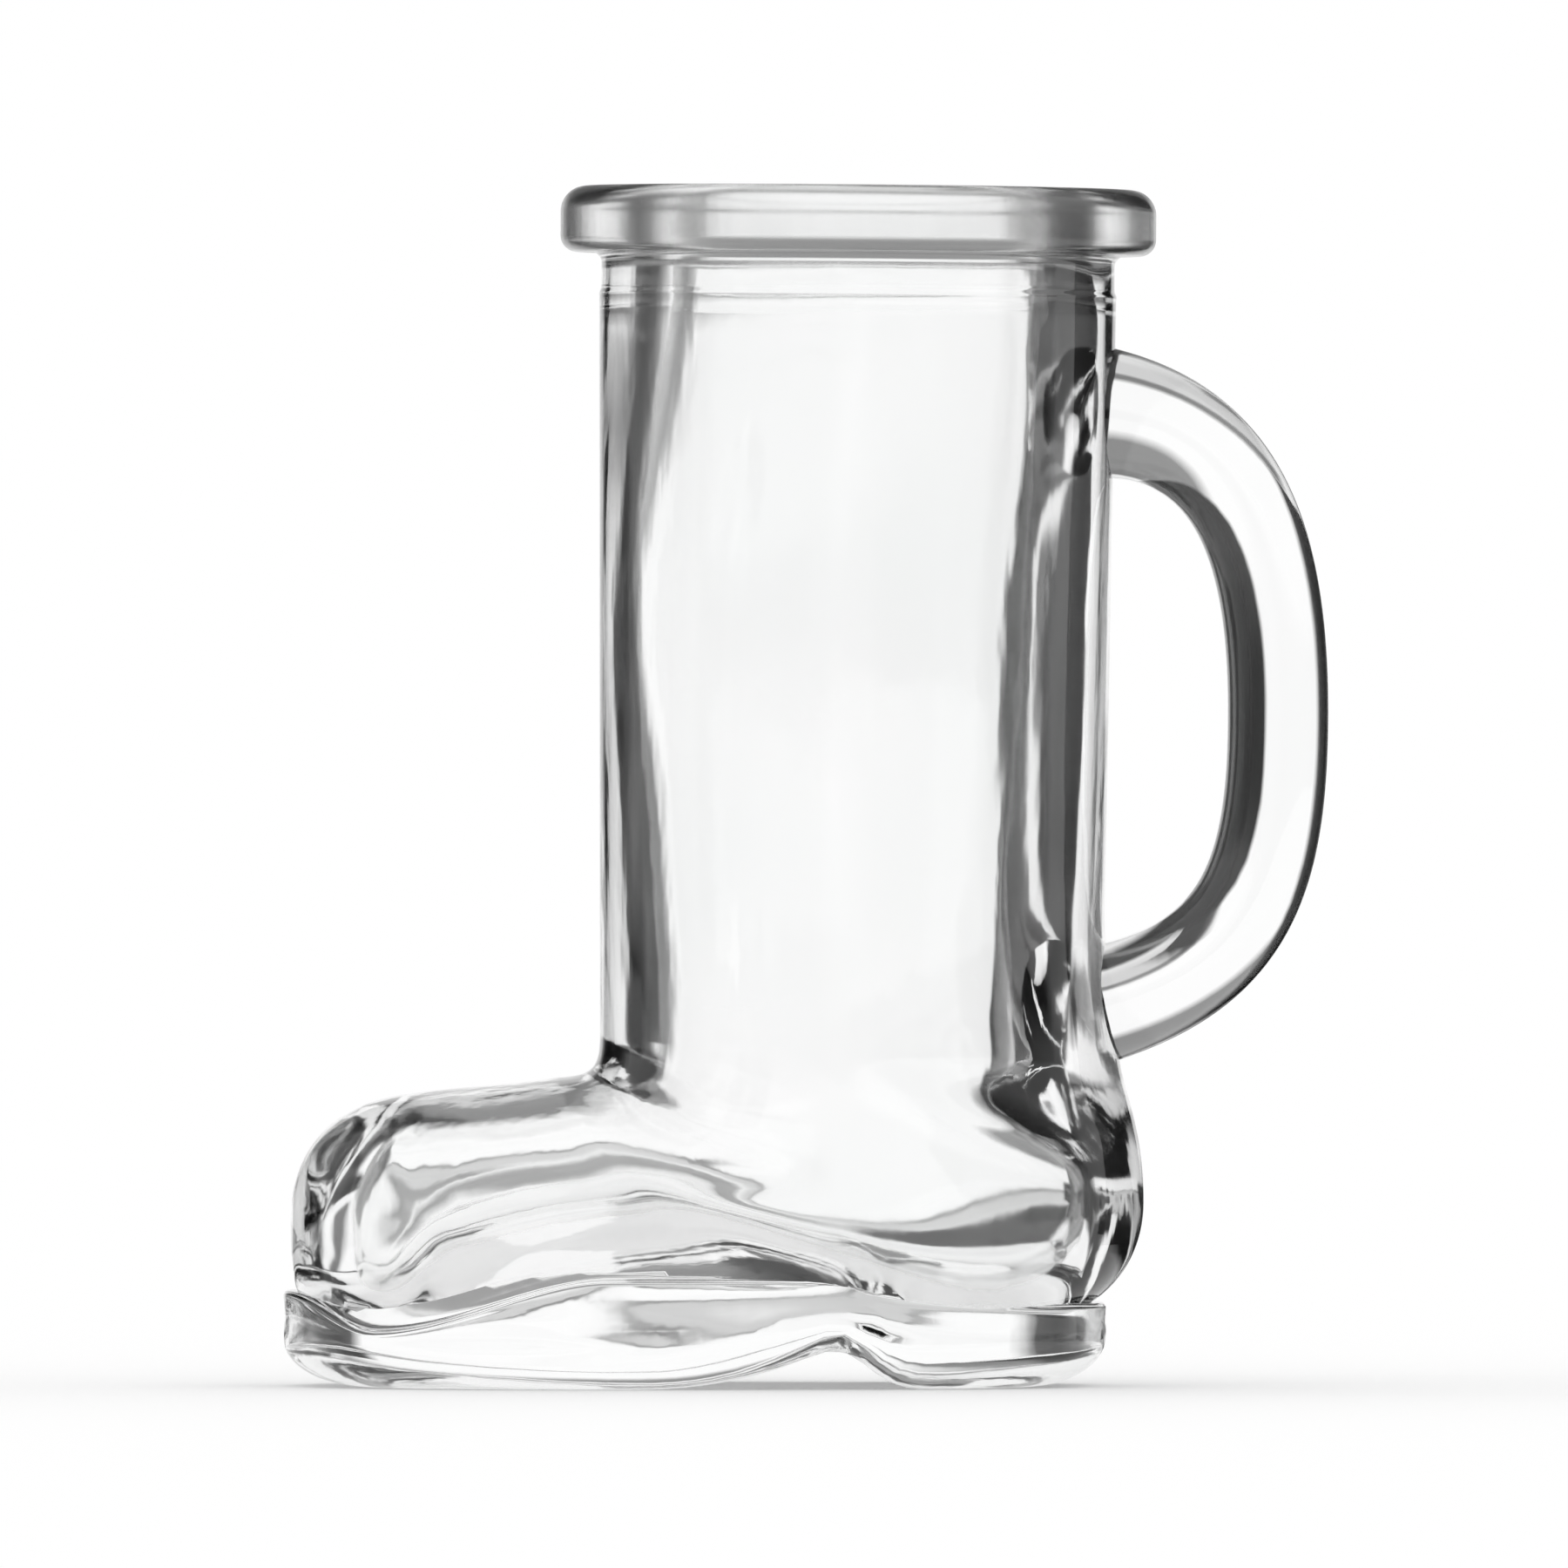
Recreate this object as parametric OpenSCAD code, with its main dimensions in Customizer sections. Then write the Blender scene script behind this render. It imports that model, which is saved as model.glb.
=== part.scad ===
// Boot-shaped shot glass with a loop handle.
// Millimetres. Z is up, the toe points to -X, the handle is on the +X side and z = 0 is the table.
// The origin is on the table under the middle of the overall length.

/* [Overall] */
// height of the highest point of the rim above the table
height = 80; // [72:1:90]
// lean of the shaft towards the handle, degrees
shaft_lean = 0.5; // [0:0.1:2]

/* [Shaft] */
// outer radius of the shaft where it meets the foot
shaft_r = 16.75; // [15:0.25:19]
// growth of the shaft radius from the foot to the rim
shaft_flare = 0.5; // [0:0.1:1.5]
// glass thickness under the rim
wall_top = 4.9; // [3:0.1:6]
// glass thickness half way up the shaft
wall_mid = 4.35; // [3:0.05:6]
// glass thickness where the shaft meets the foot
wall_ankle = 5.1; // [3.5:0.1:6.5]
// height above the ankle up to which the wall keeps that thickness
thick_h = 6; // [3:0.5:9]
// height over which the wall thins above it
thick_run = 7; // [4:0.5:10]
// height above the table at which the shaft axis meets the foot
ankle_h = 22.3; // [21:0.1:25]
// slope of the line between shaft and foot, down towards the back, degrees
ankle_slope = 4.6; // [3:0.2:6]
// height of the smooth band under the rim, above the mould line
neck_h = 2.6; // [1.5:0.1:5]
// how far the neck band stands back from the shaft
neck_step = 0.15; // [0.05:0.05:0.4]

/* [Rim bead] */
// height of the bead
rim_h = 4.4; // [3:0.1:6]
// how far the bead stands out from the shaft
rim_overhang = 2.6; // [1.5:0.1:4]
// rounding of the upper outer edge
rim_top_round = 1.7; // [0.5:0.1:2]
// rounding of the lower outer edge
rim_low_round = 1.1; // [0.4:0.1:1.4]
// rounding of the drinking edge into the bore
rim_lip_round = 2.2; // [0.5:0.1:2.6]

/* [Foot] */
// reach of the toe in front of the shaft
toe_reach = 20.6; // [15:0.2:26]
// height of the foremost point of the toe
toe_tip_h = 11; // [9:0.2:13]
// height of the instep where the rounding of the toe begins
toe_top_h = 19.4; // [18:0.1:20.2]
// length of the rounded toe cap
toe_cap = 7.4; // [5:0.1:9]
// height of the instep at the shin
instep_h = 20.55; // [20:0.05:21]
// size of the bend between shin and instep
shin_bend = 2.9; // [2:0.1:4]
// how much narrower than the shaft the foot is at the ball, on each side
ball_tuck = 0.75; // [0:0.05:2]
// how far the heel counter stands out behind the shaft
counter_out = 2.75; // [1:0.05:4]
// height of the fullest point of the counter
counter_h = 12.2; // [10.5:0.1:14]

/* [Cavity of the foot] */
// glass thickness at the tip of the toe
wall_toe = 4.1; // [3:0.1:6]
// glass thickness over the instep
wall_instep = 2.3; // [1.8:0.1:3]
// glass thickness at the sides of the foot
wall_side = 4; // [3:0.1:5.5]
// glass thickness at the counter
wall_counter = 3.9; // [3:0.1:5]
// height of the cavity floor at its highest, over the arch
floor_arch_h = 7.6; // [7:0.1:9]
// height of the cavity floor under the toes
floor_toe_h = 4.6; // [4.2:0.1:6]
// height of the cavity floor over the heel
floor_heel_h = 5.7; // [5.2:0.1:7]

/* [Sole and heel] */
// height of the sole edge, the welt, at the tip of the toe
welt_toe_h = 6.4; // [5.6:0.1:7.2]
// height of the welt at its lowest, beside the toes
welt_ball_h = 3.9; // [3.5:0.1:5]
// height of the welt at its highest, over the arch
welt_arch_h = 7.3; // [6.4:0.1:8]
// height of the welt at the back of the heel
welt_heel_h = 5.6; // [5:0.1:6.5]
// distance from the tip of the sole back to the lowest point of the welt
welt_dip = 6; // [4:0.2:8]
// how far the sole stands out from the foot at the toe
welt = 0.5; // [0.3:0.05:1.5]
// how far the sole stands out from the foot at the ball, on each side
side_welt = 0.5; // [0.3:0.05:1.5]
// how far the heel stands back from the counter
heel_set_back = 2.5; // [1:0.1:4]
// length of the bottom rounding at the toe
toe_round = 5.6; // [2:0.1:7]
// length of the bottom rounding at the heel
heel_round = 5.5; // [2:0.1:7]
// length of the bottom rounding along the sides
side_round = 2.6; // [1:0.1:4]
// height of the bottom rounding
round_h = 2.9; // [1:0.1:3.3]
// height of the arch
arch_h = 2.65; // [1:0.05:3]
// distance from the shaft axis forward to the top of the arch
arch_x = 1; // [0:0.1:3]
// run of the arch in front of its top
arch_front = 13.4; // [8:0.1:16]
// run of the arch behind its top
arch_back = 5.8; // [4:0.1:7]

/* [Handle] */
// clear gap between shaft and handle
finger_gap = 7.9; // [6:0.1:14]
// thickness of the handle seen from the side
handle_t = 6.7; // [5:0.1:8]
// width of the handle across
handle_w = 7.4; // [5:0.1:10]
// extra thickness of the handle at its upper end
flare_top = 2.6; // [0:0.1:3]
// extra thickness of the handle at its lower end
flare_low = 1.4; // [0:0.1:2]
// drop of the upper end below the rim bead
handle_drop = 11; // [9:0.1:16]
// rise of the lower end above the middle of the ankle
handle_rise = 3.3; // [3:0.1:6]

/* [Hidden] */
$fn = 96;
ring_n = 48;
fan_n = 14;
instep_n = 4;
toe_n = 11;
handle_ring_n = 28;
handle_n = 30;
// how far the ends of the handle run into the wall before they are cut to it
sink = 2;
// how far the tube of the shaft runs below the ankle before the slope cuts it
skirt = 5;
// a length well beyond the part, for cuts
far = 200;
// how square the rings are: 2 is an ellipse, more is squarer
foot_power = 7;
cavity_power = 1.6;
instep_power = 2.2;
toe_power = 2.3;
heel_power = 2.9;
handle_power = 2.2;
// how much squarer the rings are half way round the bend of the ankle, so that it isn't pinched
ankle_fill = 0.8;

shaft_top_r = shaft_r + shaft_flare;
rim_r = shaft_top_r + rim_overhang;
shaft_len = (height - rim_r * sin(shaft_lean) - ankle_h) / cos(shaft_lean) - rim_h;
bore_top_r = shaft_top_r - wall_top;
bore_mid_r = shaft_r + shaft_flare / 2 - wall_mid;
bore_ankle_r = shaft_r - wall_ankle;
ankle_tilt = ankle_slope - shaft_lean;

toe_x = -(shaft_r + toe_reach);
toe_cap_x = toe_x + toe_cap;
shin_x = -(shaft_r + shin_bend);
ball_x = shin_x + 3;
ball_half = shaft_r - ball_tuck;
sole_half = ball_half + side_welt;
counter_x = shaft_r + counter_out;
sole_toe_x = toe_x - welt;
heel_x = counter_x - heel_set_back;

handle_top_z = ankle_h + shaft_len - handle_drop;
handle_low_z = ankle_h + handle_rise;
handle_mid_z = (handle_top_z + handle_low_z) / 2;
shaft_back_x = shaft_r + shaft_flare / 2 + (handle_mid_z - ankle_h) * sin(shaft_lean);
handle_mid_x = shaft_back_x + finger_gap + handle_t / 2;
shift_x = -(handle_mid_x + handle_t / 2 + sole_toe_x) / 2;

// Curves and rings

function bez(p, t) = p[0] * pow(1 - t, 3) + p[1] * 3 * t * pow(1 - t, 2) + p[2] * 3 * t * t * (1 - t)
    + p[3] * pow(t, 3);

function bez_dir(p, t) = let (d = (p[1] - p[0]) * pow(1 - t, 2) + (p[2] - p[1]) * 2 * t * (1 - t)
    + (p[3] - p[2]) * t * t) d / norm(d);

function arc(c, r, from, to, n) = [for (i = [0:n])
    let (a = from + (to - from) * i / n) c + r * [cos(a), sin(a)]];

// one point of a chain of curves, u runs from 0 to 1 over all of them
function chain(curves, u) = let (s = u * len(curves), i = min(floor(s), len(curves) - 1))
    bez(curves[i], s - i);

// unit point of a rounded outline, squarer with a larger power
function round_unit(a, power) = let (c = cos(a), s = sin(a))
    [c, s] / pow(pow(abs(c), power) + pow(abs(s), power), 1 / power);

// smooth step from 0 at a to 1 at b
function ease_in(a, b, x) = let (s = max(0, min(1, (x - a) / (b - a)))) s * s * (3 - 2 * s);

// closed ring between an inner and an outer point of the side view, with half width w
function ring(in_pt, out_pt, w, in_power, out_power) = [for (k = [0:ring_n - 1])
    let (a = 360 * k / ring_n, u = round_unit(a, cos(a) > 0 ? out_power : in_power),
        p = (in_pt + out_pt) / 2 + (out_pt - in_pt) / 2 * u[0]) [p[0], w * u[1], p[1]]];

// half width of the foot at a distance along it, full behind the ball and round towards the tip
function foot_half(x, tip_x, full) = x > ball_x ? full
    : full * pow(max(0, 1 - pow((ball_x - x) / (ball_x - tip_x), toe_power)), 1 / toe_power);

// end points of a ring that lies on the slope of the ankle
function ankle_pt(r, side) = [0, ankle_h]
    + side * r / cos(ankle_tilt) * [cos(ankle_slope), -sin(ankle_slope)];

// Side view of the outside of the foot: the front line runs down the shin to the toe,
// the back line runs down the counter and under the foot to the toe.

tip_pt = [toe_x, toe_tip_h];
front_out = [
    [ankle_pt(shaft_r, -1), [-shaft_r, instep_h + 1.2], [shin_x + 2.1, instep_h + 0.35], [shin_x, instep_h]],
    [[shin_x, instep_h], [shin_x - 3.4, instep_h - 0.45], [toe_cap_x + 3.5, toe_top_h + 0.5],
        [toe_cap_x, toe_top_h]],
    [[toe_cap_x, toe_top_h], [toe_cap_x - 0.65 * toe_cap, toe_top_h - 0.7], [toe_x, toe_tip_h + 4.6], tip_pt]
];
back_fan_out = [
    [ankle_pt(shaft_r, 1), [shaft_r + 0.9, counter_h + 6.2], [counter_x, counter_h + 3],
        [counter_x, counter_h]],
    [[counter_x, counter_h], [counter_x, counter_h - 3.9], [counter_x - 2.6, 4.2], [counter_x - 9.5, 3.9]],
    [[counter_x - 9.5, 3.9], [counter_x - 16, 3.6], [-4, 4.6], [shin_x + 6, 4.4]]
];
under_out = [[shin_x + 6, 4.4], [shin_x + 1, 4.2], [toe_cap_x + 8, 2.4], [toe_cap_x + 4, 2.3]];
toe_under_out = [[toe_cap_x + 4, 2.3], [toe_cap_x - 6, 2], [toe_x, toe_tip_h - 7], tip_pt];

// Side view of the cavity, from the bore to the toe

cavity_tip_x = toe_x + wall_toe;
cavity_top_h = instep_h - wall_instep;
cavity_tip = [cavity_tip_x, toe_tip_h - 1.2];
cavity_cap_x = cavity_tip_x + 5;
cavity_shin_x = shin_x + 0.2;
cavity_back_x = counter_x - wall_counter;
cavity_half = ball_half - wall_side;
front_in = [
    [ankle_pt(bore_ankle_r, -1), [-bore_ankle_r - 0.35, ankle_h - 1.9],
        [cavity_shin_x + 3.4, cavity_top_h + 0.7], [cavity_shin_x, cavity_top_h]],
    [[cavity_shin_x, cavity_top_h], [cavity_shin_x - 4, cavity_top_h - 0.7],
        [cavity_cap_x + 3.5, cavity_top_h - 0.7], [cavity_cap_x, cavity_top_h - 1.2]],
    [[cavity_cap_x, cavity_top_h - 1.2], [cavity_cap_x - 3.5, cavity_top_h - 1.7],
        [cavity_tip_x, toe_tip_h + 2.7], cavity_tip]
];
back_fan_in = [
    [ankle_pt(bore_ankle_r, 1), [bore_ankle_r + 0.8, counter_h + 6.4], [cavity_back_x, counter_h + 4.8],
        [cavity_back_x, counter_h + 1]],
    [[cavity_back_x, counter_h + 1], [cavity_back_x, counter_h - 3.4], [cavity_back_x - 3, floor_heel_h],
        [cavity_back_x - 8, floor_heel_h]],
    [[cavity_back_x - 8, floor_heel_h], [cavity_back_x - 13, floor_heel_h], [-3, floor_arch_h],
        [shin_x + 10, floor_arch_h]]
];
under_in = [[shin_x + 10, floor_arch_h], [shin_x + 4, floor_arch_h], [cavity_cap_x + 8.5, floor_toe_h + 0.9],
    [cavity_cap_x + 3.5, floor_toe_h]];
toe_under_in = [[cavity_cap_x + 3.5, floor_toe_h], [cavity_cap_x - 1, floor_toe_h - 0.8],
    [cavity_tip_x, toe_tip_h - 6], cavity_tip];

fan_steps = [for (i = [0:fan_n]) i / fan_n];
instep_steps = [for (i = [1:instep_n]) i / instep_n];
toe_steps = [for (i = [1:toe_n - 1]) sin(90 * i / toe_n)];

function side_pairs(front, back_fan, under, toe_under) = concat(
    [for (t = fan_steps) [bez(front[0], t), chain(back_fan, t)]],
    [for (t = instep_steps) [bez(front[1], t), bez(under, t)]],
    [for (t = toe_steps) [bez(front[2], t), bez(toe_under, t)]]);

function loft_rings(pairs, tip_x, start_r, full, power) = [for (i = [0:len(pairs) - 1])
    let (p = pairs[i], x = (p[0][0] + p[1][0]) / 2, s = min(1, i / fan_n), ease = s * s * (3 - 2 * s),
        half = foot_half(x, tip_x, start_r + (full - start_r) * ease),
        in_power = 2 + (instep_power - 2) * ease + ankle_fill * pow(4 * s * (1 - s), 2),
        out_power = 2 + (power - 2) * pow(ease, 3))
            ring(p[0], p[1], half, in_power, out_power)];

outer_rings = loft_rings(side_pairs(front_out, back_fan_out, under_out, toe_under_out),
    toe_x, shaft_r, ball_half, foot_power);
inner_rings = loft_rings(side_pairs(front_in, back_fan_in, under_in, toe_under_in),
    cavity_tip_x, bore_ankle_r, cavity_half, cavity_power);

// point list and faces of one loft that ends in a tip
function flat_pts(rings, tip) = concat([for (r = rings) for (p = r) p], [[tip[0], 0, tip[1]]]);

function loft_faces(count, at, out) = concat(
    [for (i = [0:count - 2]) for (k = [0:ring_n - 1])
        let (a = at + i * ring_n + k, b = at + i * ring_n + (k + 1) % ring_n, c = a + ring_n, d = b + ring_n)
            for (f = [[a, b, d], [a, d, c]]) out ? f : [f[2], f[1], f[0]]],
    [for (k = [0:ring_n - 1])
        let (last = at + (count - 1) * ring_n, a = last + k, b = last + (k + 1) % ring_n, t = last + ring_n)
            out ? [a, b, t] : [t, b, a]]);

// the outside of the foot as a solid, used to seat the sole and the heel
module foot_solid() {
    polyhedron(flat_pts(outer_rings, tip_pt),
        concat(loft_faces(len(outer_rings), 0, true), [[for (k = [ring_n - 1:-1:0]) k]]));
}

module in_place() {
    translate([shift_x, 0, 0])
        children();
}

module on_axis() {
    translate([0, 0, ankle_h])
        rotate([0, shaft_lean, 0])
            children();
}

// Sub-parts

module rim_bead() {
    color([0.86, 0.9, 0.9, 0.45])
        in_place()
            on_axis()
                translate([0, 0, shaft_len])
                    rotate_extrude()
                        polygon(concat(
                            [[bore_top_r, 0]],
                            arc([rim_r - rim_low_round, rim_low_round], rim_low_round, -90, 0, 6),
                            arc([rim_r - rim_top_round, rim_h - rim_top_round], rim_top_round, 0, 90, 8),
                            arc([bore_top_r + rim_lip_round, rim_h - rim_lip_round], rim_lip_round,
                                90, 180, 8)));
}

module shaft() {
    color([0.84, 0.89, 0.9, 0.45])
        in_place()
            difference() {
                on_axis()
                    rotate_extrude()
                        polygon([
                            [bore_ankle_r, -skirt],
                            [shaft_r, -skirt],
                            [shaft_r, 0],
                            [shaft_top_r, shaft_len - neck_h],
                            [shaft_top_r - neck_step, shaft_len - neck_h],
                            [shaft_top_r - neck_step, shaft_len],
                            [bore_top_r, shaft_len],
                            [bore_mid_r, shaft_len / 2],
                            [bore_mid_r, thick_h + thick_run],
                            [bore_ankle_r, thick_h]]);
                translate([0, 0, ankle_h])
                    rotate([0, ankle_slope, 0])
                        translate([-far / 2, -far / 2, -far])
                            cube(far);
            }
}

module foot() {
    outer_n = len(outer_rings) * ring_n + 1;
    color([0.82, 0.88, 0.9, 0.45])
        in_place()
            polyhedron(concat(flat_pts(outer_rings, tip_pt), flat_pts(inner_rings, cavity_tip)),
                concat(loft_faces(len(outer_rings), 0, true), loft_faces(len(inner_rings), outer_n, false),
                    [for (k = [0:ring_n - 1]) let (m = (k + 1) % ring_n)
                        for (f = [[k, outer_n + k, outer_n + m], [k, outer_n + m, m]]) f]));
}

// outline of the slab under the foot, u = 0 at the welt and 1 at the table
function slab_outline(u) = let (front = sole_toe_x + toe_round * u, back = heel_x - heel_round * u,
    half = sole_half - side_round * u, mid = ball_x) [for (k = [0:ring_n - 1])
        let (a = 360 * k / ring_n, p = round_unit(a, cos(a) > 0 ? heel_power : toe_power))
            [mid + p[0] * (p[0] > 0 ? back - mid : mid - front), half * p[1]]];

// height of the welt along the foot: it dips beside the toes and rises over the arch
function welt_h(x) = welt_toe_h
    + (welt_ball_h - welt_toe_h) * ease_in(sole_toe_x, sole_toe_x + welt_dip, x)
    + (welt_arch_h - welt_ball_h) * ease_in(sole_toe_x + welt_dip, shin_x + 3.6, x)
    + (welt_heel_h - welt_arch_h) * ease_in(-arch_x - 3, counter_x - 5.5, x);

module slab() {
    steps = 5;
    levels = [for (i = [0:steps]) let (a = 90 * i / steps) [round_h * (1 - sin(a)), 1 - cos(a)]];
    rings = concat([[for (p = slab_outline(0)) [p[0], p[1], welt_h(p[0])]]],
        [for (l = levels) [for (p = slab_outline(l[1])) [p[0], p[1], l[0]]]]);
    last = len(rings) * ring_n - 1;
    polyhedron(concat([for (r = rings) for (p = r) p], [[ball_x, 0, floor_arch_h - 1]]), concat(
        [for (k = [0:ring_n - 1]) [(k + 1) % ring_n, k, last + 1]],
        [[for (k = [0:ring_n - 1]) last - ring_n + 1 + k]],
        [for (i = [0:len(rings) - 2]) for (k = [0:ring_n - 1])
            let (a = i * ring_n + k, b = i * ring_n + (k + 1) % ring_n)
                for (f = [[a, b, b + ring_n], [a, b + ring_n, a + ring_n]]) f]));
}

module arch_cut() {
    rise = [[-arch_x - arch_front, 0], [-arch_x - 0.37 * arch_front, 0],
        [-arch_x - 0.11 * arch_front, arch_h], [-arch_x, arch_h]];
    fall = [[-arch_x, arch_h], [-arch_x + 0.28 * arch_back, arch_h],
        [-arch_x + 0.43 * arch_back, 0], [-arch_x + arch_back, 0]];
    rotate([90, 0, 0])
        linear_extrude(height = far, center = true)
            polygon(concat([for (i = [0:8]) bez(rise, i / 8)], [for (i = [1:8]) bez(fall, i / 8)],
                [[-arch_x + arch_back, -1], [-arch_x - arch_front, -1]]));
}

module slab_part(front) {
    difference() {
        slab();
        foot_solid();
        arch_cut();
        translate([front ? -arch_x : -arch_x - far, -far / 2, -far / 2])
            cube(far);
    }
}

module sole() {
    color([0.78, 0.85, 0.88, 0.5])
        in_place()
            slab_part(true);
}

module heel() {
    color([0.76, 0.83, 0.87, 0.5])
        in_place()
            slab_part(false);
}

// centre line of the handle in the side view, from the upper end to the lower end
handle_line = [
    [[shaft_r - sink, handle_top_z + 0.6], [shaft_r + 7.7, handle_top_z + 0.2],
        [handle_mid_x, handle_mid_z + 13.5], [handle_mid_x, handle_mid_z]],
    [[handle_mid_x, handle_mid_z], [handle_mid_x, handle_mid_z - 12], [shaft_r + 9.2, handle_low_z + 1.8],
        [shaft_r - sink, handle_low_z - 0.6]]
];

module handle_solid() {
    rings = [for (i = [0:handle_n]) let (u = i / handle_n, s = 2 * u, h = min(floor(s), 1), t = s - h,
        p = bez(handle_line[h], t), d = bez_dir(handle_line[h], t), q = [-d[1], d[0]],
        grow = u < 0.5 ? flare_top * pow(1 - 2 * u, 3) : flare_low * pow(2 * u - 1, 3))
            [for (k = [0:handle_ring_n - 1]) let (e = round_unit(360 * k / handle_ring_n, handle_power),
                c = p + q * e[0] * (handle_t + grow) / 2) [c[0], e[1] * (handle_w + grow) / 2, c[1]]]];
    n = handle_ring_n;
    polyhedron([for (r = rings) for (p = r) p], concat(
        [[for (k = [n - 1:-1:0]) k], [for (k = [0:n - 1]) handle_n * n + k]],
        [for (i = [0:handle_n - 1]) for (k = [0:n - 1]) let (a = i * n + k, b = i * n + (k + 1) % n)
            for (f = [[a, b, b + n], [a, b + n, a + n]]) f]));
}

module handle() {
    color([0.84, 0.89, 0.9, 0.5])
        in_place()
            difference() {
                handle_solid();
                on_axis()
                    rotate_extrude()
                        polygon([
                            [0, -skirt],
                            [shaft_r, -skirt],
                            [shaft_r, 0],
                            [shaft_top_r, shaft_len - neck_h],
                            [0, shaft_len - neck_h]]);
            }
}

rim_bead();
shaft();
foot();
sole();
heel();
handle();
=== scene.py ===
import math

import bmesh
import bpy
import numpy as np
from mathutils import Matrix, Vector, noise


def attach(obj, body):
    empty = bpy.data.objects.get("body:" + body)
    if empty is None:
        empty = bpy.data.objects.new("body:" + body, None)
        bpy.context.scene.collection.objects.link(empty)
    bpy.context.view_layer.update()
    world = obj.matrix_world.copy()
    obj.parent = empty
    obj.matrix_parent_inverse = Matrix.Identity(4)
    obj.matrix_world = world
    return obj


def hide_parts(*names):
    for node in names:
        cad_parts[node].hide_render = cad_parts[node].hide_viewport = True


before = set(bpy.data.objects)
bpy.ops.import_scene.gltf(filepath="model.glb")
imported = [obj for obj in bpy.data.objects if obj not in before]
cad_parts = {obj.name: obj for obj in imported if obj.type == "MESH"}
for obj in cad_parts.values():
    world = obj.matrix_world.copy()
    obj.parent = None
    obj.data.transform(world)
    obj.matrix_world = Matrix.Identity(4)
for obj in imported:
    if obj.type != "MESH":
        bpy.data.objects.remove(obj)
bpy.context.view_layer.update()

MM = 0.001

# Sizes of the part, in millimetres, as in its CAD source
HEIGHT, LEAN = 80.0, math.radians(0.5)
SHAFT_R, SHAFT_FLARE = 16.75, 0.5
WALL_TOP, WALL_ANKLE = 4.9, 5.1
ANKLE_H, ANKLE_SLOPE = 22.3, math.radians(4.6)
NECK_H, NECK_STEP = 2.6, 0.15
RIM_H, RIM_OVERHANG = 4.4, 2.6
RIM_TOP_ROUND, RIM_LOW_ROUND, RIM_LIP_ROUND = 1.7, 1.1, 2.2
TOE_REACH, TOE_TIP_H, TOE_TOP_H, TOE_CAP = 20.6, 11.0, 19.4, 7.4
INSTEP_H, SHIN_BEND, BALL_HALF = 20.55, 2.9, 16.0
COUNTER_OUT, COUNTER_H = 2.75, 12.2
WALL_TOE, WALL_INSTEP, WALL_SIDE, WALL_COUNTER = 4.1, 2.3, 4.0, 3.9
FLOOR_ARCH_H, FLOOR_HEEL_H = 7.6, 5.7
WELT_TOE_H, WELT_BALL_H, WELT_ARCH_H, WELT_HEEL_H, WELT_DIP = 6.4, 3.9, 7.3, 5.6, 6.0
WELT, SOLE_HALF, HEEL_SET_BACK = 0.5, 16.5, 2.5
TOE_ROUND, HEEL_ROUND, SIDE_ROUND, ROUND_H = 5.6, 5.5, 2.6, 2.9
ARCH_H, ARCH_X, ARCH_FRONT, ARCH_BACK = 2.65, 1.0, 13.4, 5.8
FINGER_GAP, HANDLE_T, HANDLE_W = 7.9, 6.7, 7.4
FLARE_TOP, FLARE_LOW, HANDLE_DROP, HANDLE_RISE = 2.6, 1.4, 11.0, 3.3
SINK = 2.0

# Sizes of the look alone, in millimetres; the cavity's floor at the toe is 0.7 higher than in the source
FLOOR_TOE_H = 5.3
FLARE_OUT, FLARE_OUT_LEN = 1.3, 10.0
FLARE_IN, FLARE_IN_LEN = 0.9, 11.0
BORE_FULL_R, BORE_SHIFT, ANKLE_SHIFT = 12.9, 1.2, 0.9
BORE_FULL_H, BORE_TAPER, SHIFT_TAPER = 30, (32, 54), (28, 54)
SLOPE_FADE_H = 14
NECK_SOFT = (-0.2, 0.3)
UNDER_FILLET, WELT_ROUND = 0.7, 0.4
HANDLE_SIDE_DENT, DENT_WIDTH = 0.5, math.radians(17)
RIPPLE, RIPPLE_LEN = 0.02, (2.6, 2.6, 12.0)
SWELL, SWELL_LEN = 0.06, (11.0, 11.0, 45.0)
FLOOR_SWELL, FLOOR_SWELL_LEN = 0.22, (11.0, 7.0, 6.0)
SLAB_SWELL, SLAB_SWELL_LEN = 0.16, (12.0, 12.0, 3.5)

# Places in the noise from which the waves are taken
BORE_RIPPLE_SEED, BORE_SWELL_SEED = 3.0, 7.0
CAVITY_RIPPLE_SEED, CAVITY_SWELL_SEED = 5.0, 11.0
SLAB_SEED = 17.0

# Powers of the rounded outlines: 2 is an ellipse, more is boxier
FOOT_POWER, CAVITY_POWER, TOE_POWER, HEEL_POWER, HANDLE_POWER = 7.0, 1.75, 2.3, 2.9, 2.2
# What is added to the powers in places, and the part of the toe over which its share comes in
INSTEP_FILL, CAVITY_FILL = 0.2, 1.4
TOE_BOX, CAVITY_TOE_BOX, CAVITY_TOE_BOX_LOW = 2.0, 2.3, 3.5
TOE_BOX_RANGE = (0.04, 0.68)
# Lift of the cavity's widest line, as a share of the depth of its rings
CAVITY_RAISE = 0.08

# Rings of the meshes
RING_N = 160
FAN_RINGS, INSTEP_RINGS, TOE_RINGS = 76, 20, 54
BORE_RINGS = 96
HANDLE_RINGS, HANDLE_SIDES = 130, 64
ring_angle = np.linspace(0, 2 * math.pi, RING_N, endpoint=False)

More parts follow.
